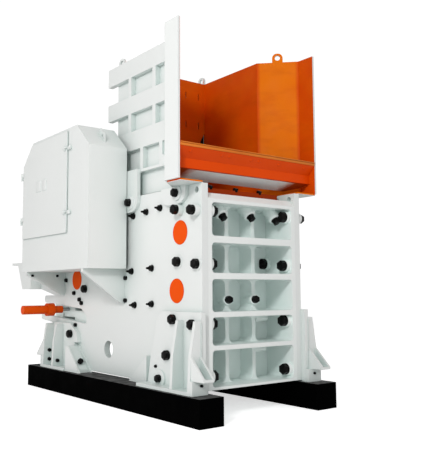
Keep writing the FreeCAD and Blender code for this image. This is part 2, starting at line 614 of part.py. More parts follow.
door_outline = [("door_front", "door_low"), ("door_rear", "door_low"),
                ("door_rear", "door_shoulder"), ("door_top_rear", "door_top"),
                ("door_front", "door_top")]
opening_outline = [("door_front + door_lap", "door_low + door_lap"),
                   ("door_rear - door_lap", "door_low + door_lap"),
                   ("door_rear - door_lap", "door_shoulder - door_lap / 2"),
                   ("door_top_rear - door_lap / 2", "door_top - door_lap"),
                   ("door_front + door_lap", "door_top - door_lap")]
guard_shell = cut("GuardShell",
                  plate("GuardBlank", "YZ", guard_outline, guard_inner, "guard_width"),
                  [plate("GuardHollow", "YZ", inner_outline, guard_inner + " - bore_past",
                         "guard_width + bore_past - guard_skin"),
                   plate("GuardOpening", "YZ", opening_outline, guard_out + " - 2 * guard_skin",
                         "3 * guard_skin")])
sizes(hinge_radius=12, hinge_length=90, hinge_upper=2585, hinge_lower=2025, hinge_gap=0.5,
      hinge_out=10)
hinge_x = guard_out + " + hinge_out + hinge_radius"
hinge_y = "guard_rear + hinge_out"
hinges_guard = []
hinges_door = []
for number, level in enumerate(("hinge_lower", "hinge_upper")):
    half = "hinge_length / 2"
    hinges_guard.append(rod("GuardKnuckle%d" % number, "Z", hinge_x, hinge_y, level,
                            "hinge_radius", half + " - hinge_gap"))
    hinges_guard.append(block("GuardLeaf%d" % number, guard_out + " - guard_skin",
                              "guard_rear - guard_skin", level,
                              "hinge_out + guard_skin + hinge_radius",
                              "guard_skin + hinge_out / 2", half + " - hinge_gap"))
    upper = "%s + %s" % (level, half)
    hinges_door.append(rod("DoorKnuckle%d" % number, "Z", hinge_x, hinge_y, upper,
                           "hinge_radius", half))
    hinges_door.append(block("DoorLeaf%d" % number, hinge_x + " - hinge_radius / 2",
                             "door_rear - door_lap", upper, "hinge_radius / 2",
                             hinge_y + " - door_rear + door_lap", half))
sizes(guard_lug_start=60, guard_lug_width=140, guard_lug_height=95, guard_lug_thick=16,
      guard_lug_eye=18, guard_lug_eye_y=47, guard_lug_eye_up=76, lug_sunk=4)


def chamfer_z(distance):
    """Level of the guard's front chamfer, a distance behind the guard's front."""
    rise = "(guard_top - guard_shoulder) / (guard_top_front - guard_front)"
    return "guard_shoulder + (%s) * %s" % (distance, rise)


lug_end = "guard_lug_start + guard_lug_width"
guard_lug = plate("GuardLug", "YZ",
                  [("guard_front + guard_lug_start", chamfer_z("guard_lug_start") + " - lug_sunk"),
                   ("guard_front + " + lug_end, chamfer_z(lug_end) + " - lug_sunk"),
                   ("guard_front + " + lug_end + " - guard_lug_height / 2",
                    chamfer_z(lug_end) + " + guard_lug_height / 2"),
                   ("guard_front + guard_lug_start",
                    chamfer_z("guard_lug_start") + " + guard_lug_height")],
                  guard_inner + " + guard_width / 2", "guard_lug_thick",
                  [("guard_front + guard_lug_start + guard_lug_eye_y",
                    chamfer_z("guard_lug_start") + " + guard_lug_eye_up", "guard_lug_eye")])
pair(fuse("Guard", [guard_shell, guard_lug] + hinges_guard), "guard")
sizes(latch_radius=26, latch_depth=14, latch_inset=45, latch_upper=2790, latch_lower=2070)
latches = [rod("Latch%d" % number, "X", guard_out + " + door_gap + door_thick - bore_past",
               "door_front + latch_inset", level, "latch_radius", "latch_depth + bore_past")
           for number, level in enumerate(("latch_lower", "latch_upper"))]
pair(fuse("GuardDoor", [plate("DoorSheet", "YZ", door_outline, guard_out + " + door_gap",
                              "door_thick")] + hinges_door + latches), "guard_door")

# ---- Guard brackets, motor base ---------------------------------------------
sizes(bracket_front=1400, bracket_rear=2870, bracket_thick=40, bracket_low=1070,
      bracket_rear_low=1160, bracket_root=50, bracket_tip=35)
brackets = [plate("Bracket%d" % number, "XZ",
                  [("half_width", low), ("half_width + bracket_root", low),
                   (guard_out, "guard_low - bracket_tip"), (guard_out, "guard_low"),
                   ("half_width", "guard_low")], along, "bracket_thick")
            for number, (along, low) in enumerate((("bracket_front", "bracket_low"),
                                                   ("bracket_rear", "bracket_rear_low")))]
pair(fuse("GuardBrackets", brackets), "guard_brackets")
sizes(base_front=2910, base_knee=3150, base_rear=3600, base_low=1235, base_high=1590,
      platform_past=150, platform_rear=4255, platform_low=1235, platform_top=1600,
      platform_sheet=30, platform_low_rear=3886, platform_high_rear=4050, motor_span_x=800,
      motor_span_y=280, motor_hole_y=3840, motor_hole_radius=13)
pair(plate("BaseCheek", "YZ",
           [("base_front", "ear_top"), ("base_knee", "ear_top"), ("base_rear", "base_low"),
            ("base_rear", "base_high"), ("base_front", "base_high")],
           frame_half, "side_plate"), "motor_base_cheek")
under_deck = "platform_top - platform_sheet"
platform_half = "(half_width + platform_past)"
platform = plate("PlatformBody", "YZ",
                 [("base_rear", "platform_low"), ("platform_low_rear", "platform_low"),
                  ("platform_high_rear", under_deck), ("base_rear", under_deck)],
                 "-1 * " + platform_half, "2 * " + platform_half)
deck = block("PlatformDeck", "-1 * " + platform_half, "base_rear", under_deck,
             "2 * " + platform_half, "platform_rear - base_rear", "platform_sheet")
hollow = plate("PlatformHollow", "YZ",
               [("base_rear + platform_sheet", "platform_low - bore_past"),
                ("platform_low_rear - platform_sheet", "platform_low - bore_past"),
                ("platform_high_rear - platform_sheet", under_deck),
                ("base_rear + platform_sheet", under_deck)],
               "-1 * (%s - platform_sheet)" % platform_half,
               "2 * (%s - platform_sheet)" % platform_half)
motor_holes = [rod("MotorHole%d%d" % (column, row), "Z",
                   "motor_span_x * %s" % (column - 0.5),
                   "motor_hole_y + motor_span_y * %s" % (row - 0.5),
                   under_deck + " - bore_past", "motor_hole_radius",
                   "platform_sheet + 2 * bore_past")
               for column in range(2) for row in range(2)]
node(cut("MotorPlatform", fuse("PlatformShell", [platform, deck]), [hollow] + motor_holes),
     "motor_platform")

# ---- Write the pieces -------------------------------------------------------
doc.recompute()
for thing in doc.Objects:
    if "Invalid" in thing.State or "Error" in thing.State:
        raise RuntimeError("%s did not build: %s" % (thing.Name, thing.getStatusString()))
os.makedirs("parts", exist_ok=True)
for piece in nodes:
    if piece.Shape.isNull() or not piece.Shape.isValid():
        raise RuntimeError("%s has no sound shape" % piece.Label)
    piece.Shape.exportStep("parts/%s.step" % piece.Label)
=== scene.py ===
import math
import bpy
import bmesh
from mathutils import Matrix, Vector


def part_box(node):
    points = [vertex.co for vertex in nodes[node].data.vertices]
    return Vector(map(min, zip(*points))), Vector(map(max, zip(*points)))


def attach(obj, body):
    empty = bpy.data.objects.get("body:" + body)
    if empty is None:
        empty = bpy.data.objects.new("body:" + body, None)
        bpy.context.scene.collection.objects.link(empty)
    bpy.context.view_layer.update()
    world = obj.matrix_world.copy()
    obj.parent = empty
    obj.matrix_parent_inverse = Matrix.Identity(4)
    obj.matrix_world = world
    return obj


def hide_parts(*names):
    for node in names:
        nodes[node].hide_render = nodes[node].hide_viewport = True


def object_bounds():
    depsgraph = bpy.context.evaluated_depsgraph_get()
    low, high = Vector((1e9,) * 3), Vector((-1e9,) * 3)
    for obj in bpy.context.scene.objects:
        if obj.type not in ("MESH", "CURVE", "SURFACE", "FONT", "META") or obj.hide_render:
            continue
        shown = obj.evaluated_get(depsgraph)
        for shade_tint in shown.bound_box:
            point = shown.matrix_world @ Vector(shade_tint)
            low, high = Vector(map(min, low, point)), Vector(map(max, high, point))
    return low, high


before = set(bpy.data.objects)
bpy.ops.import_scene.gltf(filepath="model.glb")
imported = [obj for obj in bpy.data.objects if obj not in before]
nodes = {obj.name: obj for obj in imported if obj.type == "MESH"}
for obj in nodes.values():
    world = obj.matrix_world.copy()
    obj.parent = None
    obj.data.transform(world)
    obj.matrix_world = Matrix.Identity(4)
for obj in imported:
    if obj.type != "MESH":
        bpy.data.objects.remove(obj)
cad_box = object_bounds()

# ---- White enamel on plates and castings --------------------------------------------
# Nearly every steel piece is sprayed with a satin white enamel over primer. Rolled
# plate keeps it smooth with a faint orange peel; castings let their grain through.
# In corners and pockets an occlusion mask shifts the film to a cool grey-green: painted shade.
# The third colour of each set is painted shade, laid into corners and pockets.
WHITE = (0.80, 0.815, 0.80)
WHITE_DUST = (0.72, 0.75, 0.73)
WHITE_PAINTED_SHADE = (0.46, 0.58, 0.55)
CAST_WHITE = (0.86, 0.88, 0.86)
CAST_DUST = (0.74, 0.79, 0.77)
CAST_PAINTED_SHADE = (0.66, 0.88, 0.84)
SHADE_REACH, EDGE_RADIUS, GRAIN_DEPTH = 0.45, 0.004, 0.001


def group(name, inputs, outputs):
    """Shader node group with named sockets: (socket type, name, default)."""
    tree = bpy.data.node_groups.new(name, "ShaderNodeTree")
    for kind, label, default in inputs:
        socket = tree.interface.new_socket(label, in_out="INPUT", socket_type=kind)
        socket.default_value = default
    for kind, label in outputs:
        tree.interface.new_socket(label, in_out="OUTPUT", socket_type=kind)
    return tree, tree.nodes.new("NodeGroupInput"), tree.nodes.new("NodeGroupOutput")


def noise(tree, scale, detail, coords):
    """Noise over some coordinates."""
    node = tree.nodes.new("ShaderNodeTexNoise")
    node.inputs["Scale"].default_value = scale
    node.inputs["Detail"].default_value = detail
    tree.links.new(coords, node.inputs["Vector"])
    return node.outputs["Fac"]


def ramp(tree, source, low, high, start=0.0, end=1.0):
    """Value that goes from start to end as the source goes from low to high."""
    node = tree.nodes.new("ShaderNodeMapRange")
    limits = (("From Min", low), ("From Max", high), ("To Min", start), ("To Max", end))
    for label, number in limits:
        node.inputs[label].default_value = number
    tree.links.new(source, node.inputs["Value"])
    return node.outputs["Result"]


def maths(tree, operation, *values):
    """Math node; each value is a socket or a number."""
    node = tree.nodes.new("ShaderNodeMath")
    node.operation = operation
    for socket, given in zip(node.inputs, values):
        if isinstance(given, (int, float)):
            socket.default_value = given
        else:
            tree.links.new(given, socket)
    return node.outputs[0]


def blended(tree, factor, first, second):
    """Colour mix; each colour is a socket or a tuple."""
    node = tree.nodes.new("ShaderNodeMix")
    node.data_type = "RGBA"
    tree.links.new(factor, node.inputs["Factor"])
    for label, given in (("A", first), ("B", second)):
        if isinstance(given, tuple):
            node.inputs[label].default_value = (*given, 1)
        else:
            tree.links.new(given, node.inputs[label])
    return node.outputs["Result"]


def paint_film_group():
    """Sprayed paint: slow drift, dust, painted shade in corners, orange peel, soft edges."""
    tree, given, result = group(
        "paint film",
        [("NodeSocketColor", "Colour", (1, 1, 1, 1)),
         ("NodeSocketColor", "Grime", (0.5, 0.5, 0.5, 1)), ("NodeSocketFloat", "Grime Amount", 0.1),
         ("NodeSocketColor", "Painted Shade", (0.5, 0.5, 0.5, 1)),
         ("NodeSocketFloat", "Painted Shade Amount", 0.5), ("NodeSocketFloat", "Gloss Drift", 0.08),
         ("NodeSocketFloat", "Roughness", 0.4), ("NodeSocketFloat", "Grain", 0.2),
         ("NodeSocketFloat", "Grain Size", 90.0)],
        [("NodeSocketColor", "Colour"), ("NodeSocketFloat", "Roughness"),
         ("NodeSocketVector", "Normal")])
    place = tree.nodes.new("ShaderNodeTexCoord").outputs["Object"]
    drift = ramp(tree, noise(tree, 1.7, 4, place), 0.42, 0.72)
    film = blended(tree, maths(tree, "MULTIPLY", drift, given.outputs["Grime Amount"]),
                   given.outputs["Colour"], given.outputs["Grime"])
    # Occlusion pulls the colour toward the shade tint in hollows: painted shade.
    shade_occlusion = tree.nodes.new("ShaderNodeAmbientOcclusion")
    shade_occlusion.samples = 8
    shade_occlusion.inputs["Distance"].default_value = SHADE_REACH
    shade = ramp(tree, shade_occlusion.outputs["AO"], 0.95, 0.25)
    film = blended(tree, maths(tree, "MULTIPLY", shade, given.outputs["Painted Shade Amount"]),
                   film, given.outputs["Painted Shade"])
    tree.links.new(film, result.inputs["Colour"])
    gloss = maths(tree, "MULTIPLY_ADD", ramp(tree, noise(tree, 6.0, 3, place), 0.3, 0.7, -1, 1),
                  given.outputs["Gloss Drift"], given.outputs["Roughness"])
    tree.links.new(gloss, result.inputs["Roughness"])
    grain = tree.nodes.new("ShaderNodeTexNoise")
    grain.inputs["Detail"].default_value = 3
    tree.links.new(place, grain.inputs["Vector"])
    tree.links.new(given.outputs["Grain Size"], grain.inputs["Scale"])
    soft = tree.nodes.new("ShaderNodeBevel")
    soft.samples = 4
    soft.inputs["Radius"].default_value = EDGE_RADIUS
    bump = tree.nodes.new("ShaderNodeBump")
    bump.inputs["Distance"].default_value = GRAIN_DEPTH
    tree.links.new(grain.outputs["Fac"], bump.inputs["Height"])
    tree.links.new(given.outputs["Grain"], bump.inputs["Strength"])
    tree.links.new(soft.outputs["Normal"], bump.inputs["Normal"])
    tree.links.new(bump.outputs["Normal"], result.inputs["Normal"])
    return tree


paint_film = paint_film_group()


def painted(name, colour, grime, shade_tint, shade_amount=0.6, grime_amount=0.12, roughness=0.42,
            grain=0.15, grain_size=140.0, coat=0.15, specular=0.5, metallic=0.0):
    """Material whose whole surface is one paint, with painted shade in its hollows; returns it with
    its film and shader.
    """
    material = bpy.data.materials.new(name)
    material.use_nodes = True
    tree = material.node_tree
    shader = tree.nodes["Principled BSDF"]
    film = tree.nodes.new("ShaderNodeGroup")
    film.node_tree = paint_film
    for label, given in (("Colour", colour), ("Grime", grime), ("Painted Shade", shade_tint)):
        film.inputs[label].default_value = (*given, 1)
    for label, given in (("Grime Amount", grime_amount), ("Painted Shade Amount", shade_amount),
                         ("Roughness", roughness), ("Grain", grain), ("Grain Size", grain_size)):
        film.inputs[label].default_value = given
    tree.links.new(film.outputs["Colour"], shader.inputs["Base Color"])
    tree.links.new(film.outputs["Roughness"], shader.inputs["Roughness"])
    tree.links.new(film.outputs["Normal"], shader.inputs["Normal"])
    shader.inputs["Coat Weight"].default_value = coat
    shader.inputs["Coat Roughness"].default_value = 0.25
    shader.inputs["Specular IOR Level"].default_value = specular
    shader.inputs["Metallic"].default_value = metallic
    return material, film, shader


def dress(material, *starts):
    """Gives a material to the CAD nodes whose names start so."""
    for name, thing in nodes.items():
        if name.startswith(starts):
            for place in thing.material_slots:
                place.material = material


white_plate = painted("white_plate", WHITE, WHITE_DUST, WHITE_PAINTED_SHADE)[0]
white_casting = painted("white_casting", CAST_WHITE, CAST_DUST, CAST_PAINTED_SHADE, shade_amount=0.35,
                        grime_amount=0.25, roughness=0.5, grain=0.5, grain_size=60.0, coat=0.05)[0]
dress(white_plate, "side_plate", "hopper_ribs", "hopper_legs", "guard", "motor_", "front_foot",
      "rear_foot", "rear_stop", "hopper_chute")
dress(white_casting, "front_frame", "rear_frame", "swing_jaw", "bearing", "toggle", "setting",
      "flywheel")

# ---- Skid beams ---------------------------------------------------------------------
# Two closed black beams of welded plate. The paint is flat, and grey dust settles on
# every face that looks up.
BEAM_BLACK = (0.0004, 0.0004, 0.0005)
BEAM_GRIME = (0.0012, 0.0012, 0.0012)
# Painted shade for the beams' hollows.
BEAM_PAINTED_SHADE = (0.0003, 0.0003, 0.0003)
BEAM_DUST = (0.16, 0.16, 0.16)


def beam_paint():
    material, film, shader = painted("beam_black", BEAM_BLACK, BEAM_GRIME, BEAM_PAINTED_SHADE,
                                     roughness=0.75, grain=0.25, coat=0.0, specular=0.01)
    tree = material.node_tree
    place = tree.nodes.new("ShaderNodeTexCoord").outputs["Object"]
    turn = tree.nodes.new("ShaderNodeSeparateXYZ")
    tree.links.new(tree.nodes.new("ShaderNodeNewGeometry").outputs["Normal"], turn.inputs[0])
    upward = ramp(tree, turn.outputs["Z"], 0.6, 0.95, 0.0, 0.75)
    patches = ramp(tree, noise(tree, 9.0, 5, place), 0.3, 0.6, 0.35, 1.0)
    dust = maths(tree, "MULTIPLY", upward, patches)
    tree.links.new(blended(tree, dust, film.outputs["Colour"], BEAM_DUST),
                   shader.inputs["Base Color"])
    return material


dress(beam_paint(), "skid_beam")

# ---- Side plate fasteners -----------------------------------------------------------
# Black hexagon bolts hold the castings, feet and hopper legs to the side plates. Some
# stand on turned white sleeves; the cheek plates hang on studs with a nut each.
left_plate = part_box("side_plate_left")
FRONT = left_plate[0][1]
OUTSIDE = -left_plate[0][0]
FOOT_FACE, LEG_FACE = 0.050, 0.040  # how far the feet and the hopper's legs stand off the plate
SUNK, WASHER = 0.002, 0.008
BOLT_BLACK = (0.0015, 0.0015, 0.0017)
BOLT_DUST = (0.008, 0.007, 0.006)
# Painted shade for the bolts' hollows.
BOLT_PAINTED_SHADE = (0.001, 0.001, 0.001)
# Bolt sizes are over the head's corners, then the head's height.
FRAME_BOLT, KEY_BOLT, LEG_BOLT = (0.096, 0.040), (0.092, 0.040), (0.084, 0.036)
LOW_BOLT, SMALL_BOLT = (0.076, 0.034), (0.050, 0.022)
PLATE_STUD, FOOT_STUD = (0.058, 0.046), (0.028, 0.010)
SLEEVE_RADIUS, SLEEVE = 0.056, 0.062
SPOT_FACE, LOW_BOSS, LEG_BOSS = (0.068, 0.006), (0.082, 0.020), (0.078, 0.012)
# Places are behind the frame's front face, then up.
SLEEVED = ((0.34, 1.990), (0.07, 1.962))
FRAME_BOLTS = ((0.385, 1.483), (0.08, 1.453))
FOOT_BOLTS = ((0.40, 0.925), (0.085, 0.885), (0.50, 0.575))
REAR_FOOT_BOLT, REAR_KEY_BOLT = (2.590, 0.685), (2.318, 1.230)
LOW_FOOT_BOLT, LOW_FOOT_STUD = (0.615, 0.342), (0.70, 0.452)
STUDS = ((0.700, 2.046), (0.960, 2.030), (1.222, 2.010), (0.855, 1.434), (1.251, 1.412),
         (0.853, 1.066), (1.186, 1.051))
SMALL_BOLTS = ((2.600, 1.180), (2.455, 1.102), (2.400, 1.060), (2.550, 0.790), (2.820, 1.340))
LEG_BOLTS = ((0.355, 2.158), (1.235, 2.155))


def at(across, along, up):
    """Point from its distance behind the frame's front face."""
    return Vector((across, along + FRONT, up))


def turned(spot, toward):
    """Matrix that puts local Z along a direction, at a spot."""
    return Matrix.Translation(spot) @ Vector(toward).to_track_quat("Z", "Y").to_matrix().to_4x4()


def add_drum(mesh, place, sides, radius, start, length, soft=0.004, tip=None, steps=2):
    """Prism or cylinder along local Z, its outer rim bevelled."""
    made = bmesh.ops.create_cone(mesh, cap_ends=True, segments=sides, radius1=radius,
                                 radius2=tip or radius, depth=length,
                                 matrix=place @ Matrix.Translation((0, 0, start + length / 2)))
    away = place.inverted()
    far = [v for v in made["verts"] if (away @ v.co).z > start + length / 2]
    rim = dict.fromkeys(e for v in far for e in v.link_edges if e.other_vert(v) in far)
    bmesh.ops.bevel(mesh, geom=list(rim), offset=soft, segments=steps, affect="EDGES", profile=0.5,
                    material=-1)


def edges_of(made):
    """Edges of a new shape, each once, in the same order in every run."""
    return list(dict.fromkeys(e for v in made["verts"] for e in v.link_edges))


def add_slab(mesh, low, high, soft=0.0, steps=2):
    """Box between two corners, all edges bevelled."""
    size = [high[k] - low[k] for k in range(3)]
    middle = [(high[k] + low[k]) / 2 for k in range(3)]
    made = bmesh.ops.create_cube(mesh, size=1, matrix=Matrix.Translation(middle)
                                 @ Matrix.Diagonal((*size, 1)))
    if soft:
        bmesh.ops.bevel(mesh, geom=edges_of(made), offset=soft, segments=steps, affect="EDGES",
                        profile=0.5, material=-1)


def finish(mesh, name, material, body="frame"):
    """Turns a bmesh into a piece that rides on a body."""
    bmesh.ops.recalc_face_normals(mesh, faces=mesh.faces)
    data = bpy.data.meshes.new(name)
    mesh.to_mesh(data)
    mesh.free()
    data.shade_smooth()
    data.set_sharp_from_angle(angle=math.radians(32))
    data.materials.append(material)
    piece = bpy.data.objects.new(name, data)
    bpy.context.scene.collection.objects.link(piece)
    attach(piece, body)
    return piece


def add_bolt(mesh, place, across, head, stand=0.0):
    """Hexagon bolt on a washer, with a turned crown; across is over the corners."""
    crown = across * 0.36
    add_drum(mesh, place, 28, across / 2, stand - SUNK, WASHER + SUNK, soft=0.002)
    add_drum(mesh, place, 6, across / 2, stand + WASHER, head, soft=across * 0.07)
    add_drum(mesh, place, 24, crown, stand + head + SUNK, across * 0.10, soft=across * 0.03)


def add_stud(mesh, place, across, length):
    """Nut on a stud whose tapered end stands out."""
    nut = across * 0.5
    add_drum(mesh, place, 24, across * 0.62, -SUNK, WASHER, soft=0.002)
    add_drum(mesh, place, 6, across / 2, WASHER - SUNK, nut, soft=across * 0.08)
    add_drum(mesh, place, 16, across * 0.30, nut, length, soft=0.006, tip=across * 0.15)


def on_plate(sign, spot, stand=0.0):
    """Place on the outside of a side plate, or on what stands off it."""
    return turned(at(sign * (OUTSIDE + stand), *spot), (sign, 0, 0))


bolt_black = painted("bolt_black", BOLT_BLACK, BOLT_DUST, BOLT_PAINTED_SHADE, grime_amount=0.5,
                     roughness=0.32, grain=0.3, coat=0.0, specular=0.12, grain_size=200.0)[0]

for side, sign in (("left", -1), ("right", 1)):
    bolts, sleeves = bmesh.new(), bmesh.new()
    for spot in SLEEVED:
        place = on_plate(sign, spot)
        add_drum(sleeves, place, 36, SLEEVE_RADIUS, -SUNK, SLEEVE, soft=0.004)
        add_bolt(bolts, place, *FRAME_BOLT, SLEEVE)
    for spot in FRAME_BOLTS:
        place = on_plate(sign, spot)
        add_drum(sleeves, place, 36, SPOT_FACE[0], -SUNK, SPOT_FACE[1] + SUNK, soft=0.002)
        add_bolt(bolts, place, *FRAME_BOLT, SPOT_FACE[1])
    for spot in (*FOOT_BOLTS, REAR_FOOT_BOLT):
        add_bolt(bolts, on_plate(sign, spot, FOOT_FACE), *FRAME_BOLT)
    low = on_plate(sign, LOW_FOOT_BOLT, FOOT_FACE)
    add_drum(sleeves, low, 40, LOW_BOSS[0], -SUNK, LOW_BOSS[1] + SUNK, soft=0.006)
    add_bolt(bolts, low, *LOW_BOLT, LOW_BOSS[1])
    add_stud(bolts, on_plate(sign, LOW_FOOT_STUD, FOOT_FACE), *FOOT_STUD)
    for spot in STUDS:
        add_stud(bolts, on_plate(sign, spot), *PLATE_STUD)
    add_bolt(bolts, on_plate(sign, REAR_KEY_BOLT), *KEY_BOLT)
    for spot in SMALL_BOLTS:
        add_bolt(bolts, on_plate(sign, spot), *SMALL_BOLT)
    for spot in LEG_BOLTS:
        place = on_plate(sign, spot, LEG_FACE)
        add_drum(sleeves, place, 40, LEG_BOSS[0], -SUNK, LEG_BOSS[1] + SUNK, soft=0.004)
        add_bolt(bolts, place, *LEG_BOLT, LEG_BOSS[1])
    finish(bolts, "side_bolts_" + side, bolt_black)
    finish(sleeves, "side_sleeves_" + side, white_plate)

# ---- Front casting: pockets, webs and their bolts -----------------------------------
# One heavy casting closes the feed end. Its five tiers of open pockets are parted by
# webs that run out into the flanges on wide fillets. Bolts from the jaw's clamps come
# down out of the top tier; the others stand on cast bosses on the sides and the webs.
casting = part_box("front_frame_casting")
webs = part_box("front_frame_webs")
WALL = 0.048
POCKET = casting[1][0] - WALL
TIERS = ((1.722, 2.043), (1.367, 1.656), (0.997, 1.308), (0.683, 0.947), (0.300, 0.640))
WEB_MIDDLE, WEB_THICK, FILLET, WEB_FOOT = 0.177, 0.045, 0.055, 0.002
WEB_FLARE = FILLET * 1.35
CLAMP_BOLTS = ((-0.300, 1.938), (0.072, 1.952), (0.418, 1.938))
CLAMP_START, CLAMP_LEAN = 0.13, (0.10, -0.62, -0.78)
CLAMP_BOSS, CLAMP_REACH, CLAMP_BOLT = 0.064, 0.150, (0.082, 0.040)
WALL_BOLTS = ((0.07, 1.965), (0.385, 1.485), (0.085, 1.455), (0.085, 0.885), (0.075, 0.392))
WALL_BOSS, WALL_STAND, WALL_BOLT = 0.066, 0.042, (0.112, 0.046)
WEB_BOLTS, WEB_BOLT_START, WEB_BOLT_UP = (-0.187, 0.167), 0.185, 1.108
WEB_LEAN, WEB_STAND, WEB_BOLT = (-0.25, -1, 0.05), 0.004, (0.078, 0.040)
BARE_BOSSES, BARE_START = ((0.215, 0.915), (0.185, 0.602)), 0.25
# These three are a radius, where the drum starts on its axis, and its length.
WEB_BOSS, BARE_BOSS, BARE_TIP = (0.054, -0.20, 0.205), (0.038, 0.0, 0.085), (0.030, 0.08, 0.09)


def add_web(mesh, middle, low, high):
    """Upright web whose edges run into the flanges on fillets."""
    near, far = middle - WEB_THICK / 2, middle + WEB_THICK / 2
    foot, top = low + WEB_FOOT, high - WEB_FOOT
    outline = ((near - WEB_FLARE, low), (far + WEB_FLARE, low), (far, foot), (far, top),
               (far + WEB_FLARE, high), (near - WEB_FLARE, high), (near, top), (near, foot))
    web = bmesh.new()
    corners = [web.verts.new((x, webs[0][1], z)) for x, z in outline]
    web.faces.new(corners)
    bmesh.ops.bevel(web, geom=[corners[k] for k in (2, 3, 6, 7)], offset=FILLET, segments=8,
                    affect="VERTICES", profile=0.5, material=-1)
    rear = bmesh.ops.extrude_face_region(web, geom=web.faces[:])
    bmesh.ops.translate(web, vec=(0, webs[1][1] - webs[0][1], 0),
                        verts=[v for v in rear["geom"] if isinstance(v, bmesh.types.BMVert)])
    whole = bpy.data.meshes.new("web")
    web.to_mesh(whole)
    web.free()
    mesh.from_mesh(whole)
    bpy.data.meshes.remove(whole)


mesh = bmesh.new()
for low, high in TIERS:
    for sign in (-1, 1):
        add_web(mesh, sign * WEB_MIDDLE, low, high)
curved_webs = finish(mesh, "cast_webs", white_casting)
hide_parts("front_frame_webs")

bolts, bosses = bmesh.new(), bmesh.new()
for across, up in CLAMP_BOLTS:
    place = turned(at(across, CLAMP_START, up), CLAMP_LEAN)
    add_drum(bosses, place, 40, CLAMP_BOSS, -CLAMP_REACH, CLAMP_REACH - SUNK, soft=0.008, steps=3)
    add_bolt(bolts, place, *CLAMP_BOLT)
for sign in (-1, 1):
    for along, up in WALL_BOLTS:
        place = turned(at(sign * POCKET, along, up), (-sign, 0, 0))
        add_drum(bosses, place, 40, WALL_BOSS, -2 * SUNK, WALL_STAND + SUNK, soft=0.006)
        add_bolt(bolts, place, *WALL_BOLT, WALL_STAND)
for across in WEB_BOLTS:
    place = turned(at(across, WEB_BOLT_START, WEB_BOLT_UP), WEB_LEAN)
    add_drum(bosses, place, 36, *WEB_BOSS, soft=0.006)
    add_bolt(bolts, place, *WEB_BOLT, WEB_STAND)
for across, up in BARE_BOSSES:
    place = turned(at(across, BARE_START, up), (1, 0, 0))
    add_drum(bosses, place, 32, *BARE_BOSS, soft=0.006)
    add_drum(bosses, place, 32, *BARE_TIP, soft=0.005)
finish(bolts, "front_bolts", bolt_black)
finish(bosses, "front_bosses", white_casting)

# ---- Shear keys, wedge cylinders, clamp bar -----------------------------------------
# The round keys, the cylinders that set the wedges and the bar that clamps the fixed
# jaw's die are picked out in orange enamel. The cylinder's piston rod is bare.
KEY_ORANGE = (0.86, 0.082, 0.0)
CYLINDER_ORANGE = (0.78, 0.078, 0.0)
# The clamp bar is darkened all over to stand for the shade it sits in: painted shade.
CLAMP_SHADED_ORANGE = (0.42, 0.040, 0.0)
ROD_STEEL = (0.38, 0.38, 0.39)
ROD_SHOWS = 0.0115
BAR_BOLTS, BAR_BOLT = (-0.384, -0.052, 0.273), (0.056, 0.022)
BAR_BOLT_BACK, BAR_BOLT_LEAN = 0.02, (0, -0.5, 1)
dress(painted("orange_enamel", KEY_ORANGE, (0.70, 0.065, 0.0), (0.42, 0.05, 0.0),
              shade_amount=0.35, coat=0.0, roughness=0.5, specular=0.07)[0], "shear_keys")
# Dark orange on the clamp bar: painted shade.
dress(painted("clamp_shaded_orange", CLAMP_SHADED_ORANGE, (0.30, 0.030, 0.0), (0.16, 0.018, 0.0),
              grime_amount=0.5, coat=0.0, specular=0.1)[0], "jaw_clamp")


def cylinder_paint():
    """Orange, with the piston rod's end bare where it leaves the side plate."""
    material, film, shader = painted("cylinder_paint", CYLINDER_ORANGE, (0.58, 0.055, 0.0),
                                     (0.24, 0.025, 0.0), coat=0.0, roughness=0.42, specular=0.12)
    tree = material.node_tree
    split = tree.nodes.new("ShaderNodeSeparateXYZ")
    tree.links.new(tree.nodes.new("ShaderNodeTexCoord").outputs["Object"], split.inputs[0])
    across = maths(tree, "ABSOLUTE", split.outputs["X"])
    bare = maths(tree, "LESS_THAN", across, OUTSIDE + ROD_SHOWS)
    tree.links.new(blended(tree, bare, film.outputs["Colour"], ROD_STEEL),
                   shader.inputs["Base Color"])
    tree.links.new(bare, shader.inputs["Metallic"])
    return material


dress(cylinder_paint(), "wedge_cylinder")
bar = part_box("jaw_clamp_bar")
mesh = bmesh.new()
for across in BAR_BOLTS:
    place = turned((across, bar[0][1] + BAR_BOLT_BACK, bar[1][2]), BAR_BOLT_LEAN)
    add_bolt(mesh, place, *BAR_BOLT)
finish(mesh, "clamp_bolts", bolt_black)

# ---- Feet ---------------------------------------------------------------------------
# Welded brackets on the beams. Their ribs carry small bolts, the stop in front of each
# rear foot has one on its seat, and fillet welds run along every joint.
BEAM_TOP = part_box("skid_beam_left")[1][2]
RIB_BOLT, STOP_BOLT, PAD_BOLT = (0.046, 0.020), (0.066, 0.028), (0.026, 0.010)
RIB_BOLTS = ((0.755, 3.080, 0.462), (0.755, 3.080, 0.350), (0.775, 2.800, 0.352))
STOP_SEAT, PAD = (0.735, 2.266, 0.372), (0.735, -0.091, 0.345)
STOP_LEAN = (0, -0.707, 0.707)
FRONT_RIBS, FRONT_RIB_TOP = (-0.055, -0.005, 0.225, 0.275), 0.91
REAR_RIBS, REAR_RIB_TOP = (2.795, 2.845, 3.075, 3.125), 0.79
SOLES = ((0.188, -0.05, 0.85), (0.188, 2.50, 3.12), (0.17, 2.13, 2.49))
RIB_WELD, RIB_WELD_OUT, RIB_WELD_START = 0.007, 0.001, 0.03
SOLE_WELD, SOLE_WELD_UP = 0.008, 0.002
RIPPLE_STEP, RIPPLE_SWELL = 2.2, 1.25  # times the weld's size
bolts, welds = bmesh.new(), bmesh.new()


def add_bead(mesh, first, last, size):
    """Fillet weld: a run of ripples between two points."""
    count = max(2, int((last - first).length / (size * RIPPLE_STEP)))
    for step in range(count):
        spot = first.lerp(last, (step + 0.5) / count)
        bmesh.ops.create_icosphere(mesh, subdivisions=1, radius=size * RIPPLE_SWELL,
                                   matrix=Matrix.Translation(spot))


